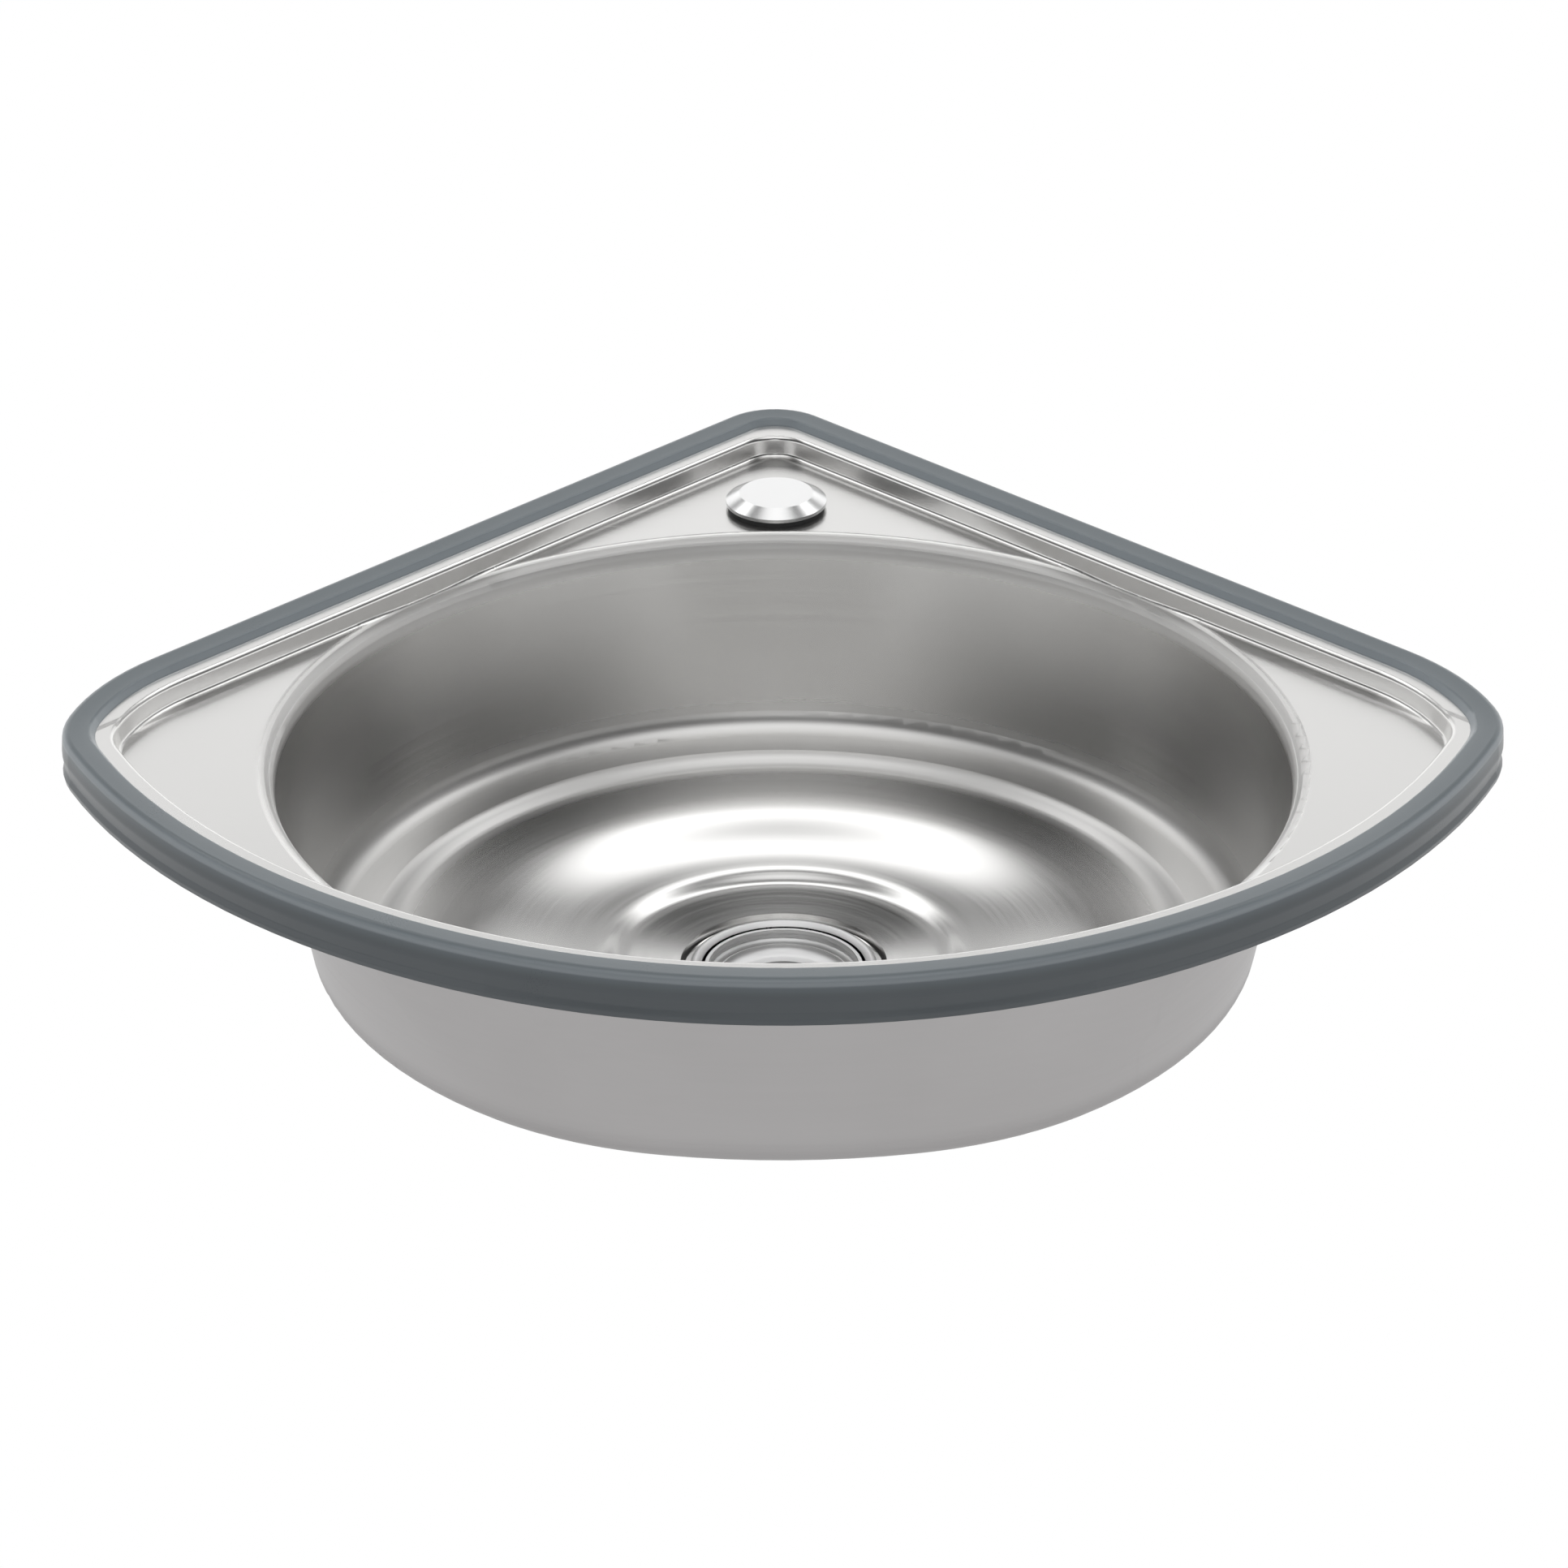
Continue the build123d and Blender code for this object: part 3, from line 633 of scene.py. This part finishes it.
# %% Zinc plate
zinc = Finish("zinc_plate", Metallic=1.0, Roughness=0.35, Base_Color=(0.62, 0.64, 0.66, 1.0))
bloom = zinc.noise(zinc.place, scale=160.0, detail=4.0, roughness=0.7)
zinc.show(
    Roughness=bloom * 0.25 + 0.25,
    Base_Color=zinc.blend(bloom, (0.52, 0.54, 0.56), (0.70, 0.72, 0.74)),
)
zinc.bump(bloom * 0.02)
dress(
    zinc, "cover_backing_washer", "cover_wing_nut", "strainer_post_clip",
    "wall_rail_right", "wall_rail_left", "hold_down_washers", "hold_down_wing_nuts",
)

# %% [markdown]
# ## Screw threads
# The frame's studs, cup and outlet are plain cylinders at the outside size of their threads.
# A thread is one rule: going round once moves the groove along by one pitch. Geometry
# Nodes suit that: a cylinder with many rings, whose points move in where the rule says.
# The same tree cuts every thread, with the places, sizes and finish as its inputs.

# %% Thread tree: inputs
THREAD_INPUTS = {
    "Places": "Geometry", "Radius": "Float", "Length": "Float", "Pitch": "Float",
    "Depth": "Float", "End cut": "Float", "Capped": "Bool", "Finish": "Material",
}

thread_tree = bpy.data.node_groups.new("screw_thread", "GeometryNodeTree")
for name, kind in THREAD_INPUTS.items():
    thread_tree.interface.new_socket(name, in_out="INPUT", socket_type=f"NodeSocket{kind}")
thread_tree.interface.new_socket("Threads", in_out="OUTPUT", socket_type="NodeSocketGeometry")
cutter = Graph(thread_tree)
size = {name: cutter.node("NodeGroupInput", output=name) for name in THREAD_INPUTS}
print("thread tree inputs:", ", ".join(THREAD_INPUTS))

# %% Thread tree: a plain rod
RINGS_PER_TURN = 8
CORNERS_ROUND = 40

rings_long = size["Length"] / size["Pitch"] * RINGS_PER_TURN
open_rod, capped_rod = (
    cutter.node("GeometryNodeMeshCylinder", {"fill_type": fill}, {
        "Vertices": CORNERS_ROUND, "Side Segments": rings_long,
        "Radius": size["Radius"], "Depth": size["Length"],
    })
    for fill in ("NONE", "NGON")
)
plain_rod = cutter.node(
    "GeometryNodeSwitch", {"input_type": "GEOMETRY"},
    {"Switch": size["Capped"], "False": open_rod, "True": capped_rod},
)
print("a rod has", CORNERS_ROUND, "corners round and", RINGS_PER_TURN, "rings to a turn")

# %% [markdown]
# The groove is deepest where the number of turns, counted along the rod and round it, is
# half-way between two whole ones. Over the last pitch at each end the groove gives way to
# the end cut: 1 cuts the end down to the groove's depth, and 0 leaves it at full size.

# %% Thread tree: the groove
rod_x, rod_y, rod_z = cutter.split(cutter.node("GeometryNodeInputPosition"))
turns = rod_z / size["Pitch"] - rod_y.math("ARCTAN2", rod_x) * (0.5 / math.pi)
groove = turns.math("PINGPONG", 0.5) * 2.0
run_out = (abs(rod_z) - (size["Length"] * 0.5 - size["Pitch"])) / size["Pitch"]
at_end = run_out.math("MAXIMUM", 0.0).math("MINIMUM", 1.0)
cut = groove * (1 - at_end) + size["End cut"] * at_end
shrink = 1 - cut * size["Depth"] / size["Radius"]
cut_rod = cutter.node("GeometryNodeSetPosition", inputs={
    "Geometry": plain_rod, "Position": cutter.join(rod_x * shrink, rod_y * shrink, rod_z),
})
print("the groove takes", len(thread_tree.nodes), "nodes so far")

# %% Thread tree: one rod at each place
spots = cutter.node("GeometryNodeMeshToPoints", inputs={"Mesh": size["Places"]})
rods = cutter.node("GeometryNodeInstanceOnPoints", inputs={"Points": spots, "Instance": cut_rod})
solid = cutter.node("GeometryNodeRealizeInstances", inputs={"Geometry": rods})
done = cutter.node(
    "GeometryNodeSetMaterial", inputs={"Geometry": solid, "Material": size["Finish"]},
)
cutter.node("NodeGroupOutput", inputs={"Threads": done})
print("thread tree:", len(thread_tree.nodes), "nodes")

# %% [markdown]
# Running the tree gives a plain mesh. The carrier of the modifier is thrown away, and the
# mesh joins a copy of the frame's piece, in place of the plain faces.

# %% Cutting threads
WELD = 0.001
CREASE = math.radians(28)


def threads(places, finish, radius, length, pitch, depth, end_cut, capped):
    """A mesh with one thread at each place; lengths are in millimetres."""
    marks = bpy.data.meshes.new("thread_places")
    marks.from_pydata([[value * MM for value in place] for place in places], [], [])
    carrier = bpy.data.objects.new("thread", marks)
    bpy.context.scene.collection.objects.link(carrier)
    modifier = carrier.modifiers.new("thread", "NODES")
    modifier.node_group = thread_tree
    values = {
        "Radius": radius * MM, "Length": length * MM, "Pitch": pitch * MM, "Depth": depth * MM,
        "End cut": end_cut, "Capped": capped, "Finish": finish.material,
    }
    for socket in thread_tree.interface.items_tree:
        if socket.name in values:
            modifier[socket.identifier] = values[socket.name]
    ready = carrier.evaluated_get(bpy.context.evaluated_depsgraph_get())
    mesh = bpy.data.meshes.new_from_object(ready)
    bpy.data.objects.remove(carrier)
    print(len(places), "threads:", len(mesh.polygons), "faces")
    return mesh


def rethread(name, node, slot, finish, plain, *meshes):
    """The frame's node with its plain faces taken away and threads in their place."""
    shell = bmesh.new()
    shell.from_mesh(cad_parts[node].data)
    bmesh.ops.remove_doubles(shell, verts=shell.verts, dist=WELD * MM)
    gone = [face for face in shell.faces if plain(face)]
    bmesh.ops.delete(shell, geom=gone, context="FACES")
    for mesh in meshes:
        shell.from_mesh(mesh)
    made = bpy.data.meshes.new(name)
    shell.to_mesh(made)
    shell.free()
    made.polygons.foreach_set("use_smooth", [True] * len(made.polygons))
    made.set_sharp_from_angle(angle=CREASE)
    made.materials.append(finish.material)
    piece = bpy.data.objects.new(name, made)
    bpy.context.scene.collection.objects.link(piece)
    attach(piece, "sink")
    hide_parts(node)
    print(name, "has", len(made.polygons), "faces;", len(gone), "plain ones went")


# %% [markdown]
# The four hold-down studs have M6 threads under their welded pads, and the tap-hole cover's
# stud has an M8 thread under its boss. Both end in a small chamfer, which is the last turn
# of the thread cut down to its full depth.

# %% Stud threads
PAD_UNDERSIDE = -10.8
STUD_LENGTH = 27.0
STUD_SPOTS = [(side * x, y) for side in (-1, 1) for x, y in ((43.84, -97.58), (217.1, -270.8))]
BOSS_UNDERSIDE = -4.8
COVER_LENGTH = 30.0
COVER_Y = -87.5
MARGIN = 0.05


def below(height):
    """A test for faces that reach below a height in millimetres."""
    return lambda face: min(corner.co.z for corner in face.verts) < (height - MARGIN) * MM


stud_threads = threads(
    [(x, y, PAD_UNDERSIDE - STUD_LENGTH / 2) for x, y in STUD_SPOTS], zinc,
    radius=3.0, length=STUD_LENGTH, pitch=1.0, depth=0.55, end_cut=1.0, capped=True,
)
rethread("threaded_studs", "hold_down_studs", "zinc_steel", zinc, below(PAD_UNDERSIDE), stud_threads)

cover_thread = threads(
    [(0.0, COVER_Y, BOSS_UNDERSIDE - COVER_LENGTH / 2)], zinc,
    radius=4.0, length=COVER_LENGTH, pitch=1.25, depth=0.7, end_cut=1.0, capped=True,
)
rethread("threaded_cover_stud", "cover_stud", "zinc_steel", zinc, below(BOSS_UNDERSIDE), cover_thread)

# %% [markdown]
# The waste has two pipe threads: a coarse one on the cup, for the lock nut, and the thread
# of the outlet, which takes the trap's nut. At both ends the groove runs out to the full
# radius, so that the thread closes on the rings of the plain faces that it replaces.

# %% Waste threads
CLOSE = 0.02
CUP = {"radius": 29.6, "top": -100.8, "end": -129.8, "pitch": 2.0, "depth": 0.7}
OUTLET = {"radius": 23.9, "top": -136.8, "end": -162.8, "pitch": 2.309, "depth": 1.0}


def on_cylinder(face):
    """Whether a face lies on the plain cylinder of the cup or of the outlet."""
    places = [polar(corner.co) for corner in face.verts]
    for part in (CUP, OUTLET):
        low, high = part["end"] - CLOSE, part["top"] + CLOSE
        if all(abs(r - part["radius"]) < CLOSE and low < z < high for r, _, z in places):
            return True
    return False


waste_threads = [
    threads(
        [(0.0, BOWL_Y, (part["top"] + part["end"]) / 2)], turned,
        radius=part["radius"], length=part["top"] - part["end"], pitch=part["pitch"],
        depth=part["depth"], end_cut=0.0, capped=False,
    )
    for part in (CUP, OUTLET)
]
rethread("threaded_waste", "waste_flange", "polished_steel", turned, on_cylinder, *waste_threads)

# %% [markdown]
# ## Moulded plastic
# The lock nut, the slip ring and the spacers are off-white polymer with a slight mottle.

# %% Off-white plastic
plastic = Finish("white_plastic", Roughness=0.5, Base_Color=(0.75, 0.75, 0.73, 1.0))
mottle = plastic.noise(plastic.place, scale=220.0)
plastic.show(
    Roughness=mottle * 0.15 + 0.4,
    Base_Color=plastic.blend(mottle, (0.70, 0.70, 0.67), (0.79, 0.79, 0.77)),
)
plastic.bump(mottle * 0.03)
dress(plastic, "waste_lock_nut", "waste_friction_washer", "stud_spacers")

# %% [markdown]
# ## Floor
# A pale floor lies well below the sink, so that a camera that looks up from under the sink
# still stands above it. The camera, mirrors and glass see plain white there. All other light
# meets a matt grey, so what the floor sends back to the sink, and the sink's shadow on it,
# stay real.

# %% Floor
FLOOR_Z = -1.6
FLOOR_SIZE = 60.0

bpy.ops.mesh.primitive_plane_add(size=FLOOR_SIZE, location=(0, 0, FLOOR_Z))
floor = bpy.context.object
floor.name = "floor"
paint = bpy.data.materials.new("floor_paint")
paint.use_nodes = True
paint.node_tree.nodes.clear()
ground = Graph(paint.node_tree)
by_camera, by_mirror, through_glass = (
    ground.node("ShaderNodeLightPath", output=f"Is {ray} Ray")
    for ray in ("Camera", "Glossy", "Transmission")
)
seen = by_camera.highest(by_mirror, through_glass)
matt = ground.node("ShaderNodeBsdfDiffuse", inputs={"Color": (0.4, 0.4, 0.4, 1)})
white = ground.node("ShaderNodeEmission", inputs={"Color": (1, 1, 1, 1)})
surface = ground.node("ShaderNodeMixShader", inputs={0: seen, 1: matt, 2: white})
ground.node("ShaderNodeOutputMaterial", inputs={"Surface": surface})
floor.data.materials.append(paint)
print("floor", -FLOOR_Z, "m below the rim")

# %% [markdown]
# ## Light
# Steel shows what stands round it, so the room matters more than any lamp. The world is that
# room: a strength of white for every direction. The height of a direction runs from -1,
# straight down, to 1, straight up, and its bearing from -1, the front, to 1, the back.

# %% World: directions
NEVER_ZERO = 0.0001

world = bpy.data.worlds.new("studio")
bpy.context.scene.world = world
world.use_nodes = True
world.node_tree.nodes.clear()
studio = Graph(world.node_tree)
look_x, look_y, look_z = studio.split(studio.node("ShaderNodeTexCoord", output="Generated"))
to_back = look_y / (look_x * look_x + look_y * look_y + NEVER_ZERO) ** 0.5
to_front = 0 - to_back
print("directions take", len(world.node_tree.nodes), "nodes")

# %% [markdown]
# As in a product studio, a white cove runs round the horizon, dimmer in front. Behind the
# sink stand a low and a high screen with a dark gap between them, dim panels stand at the
# sides, a soft box hangs overhead, and a narrow strip lamp stands in front. Elsewhere the
# room only glows, and that gives the bowl its dark sides.

# %% World: the room
GLOW = 0.04
COVE, COVE_DIMMED = 1.3, 0.6
LOW_SCREEN, HIGH_SCREEN = 1.25, 2.2
SIDE_PANELS = 0.3
SOFT_BOX, SOFT_BOX_LEAN = 1.3, 0.15
STRIP_LAMP = 1.7

cove = (1 - look_z.smooth(0.24, 0.34)) * (COVE - to_front.smooth(0.6, 0.9) * COVE_DIMMED)
low_screen = to_back.smooth(0.6, 0.92) * look_z.band(-1.0, 0.53, 0.05) * LOW_SCREEN
high_screen = to_back.smooth(0.2, 0.6) * look_z.band(0.63, 0.86, 0.07) * HIGH_SCREEN
at_sides = to_back.smooth(-0.15, 0.3) * (1 - to_back.smooth(0.75, 0.9))
side_panels = at_sides * look_z.band(0.2, 0.86, 0.1) * SIDE_PANELS
soft_box = (look_z - look_y * SOFT_BOX_LEAN).smooth(0.86, 0.95) * SOFT_BOX
strip_lamp = to_front.smooth(0.965, 0.99) * look_z.band(0.18, 0.45, 0.06) * STRIP_LAMP
level = GLOW + cove.highest(low_screen, high_screen, side_panels, soft_box, strip_lamp)
room = studio.node("ShaderNodeBackground", inputs={"Color": (1, 1, 1, 1), "Strength": level})
studio.node("ShaderNodeOutputWorld", inputs={"Surface": room})
print("room:", len(world.node_tree.nodes), "nodes")

# %% [markdown]
# ## Camera
# A long lens looks down at 27 degrees from almost straight in front.

# %% Camera
PHOTO_PIXELS = 1932
FOCAL_PIXELS = 8506.0
SENSOR_WIDTH = 36.0
FARTHEST = 100.0
STANDPOINT = (-0.03209, -2.68263, 1.19279)
TILT = math.radians(27.13)
TURN = math.radians(0.779)

camera_data = bpy.data.cameras.new("camera")
camera_data.sensor_width = SENSOR_WIDTH
camera_data.lens = FOCAL_PIXELS * SENSOR_WIDTH / PHOTO_PIXELS
camera_data.clip_end = FARTHEST
camera = bpy.data.objects.new("camera", camera_data)
bpy.context.scene.collection.objects.link(camera)
camera.location = STANDPOINT
camera.rotation_euler = (math.pi / 2 - TILT, 0.0, -TURN)
bpy.context.scene.camera = camera
bpy.context.scene.view_settings.view_transform = "Standard"
print("lens:", round(camera_data.lens, 1), "mm")

# %% [markdown]
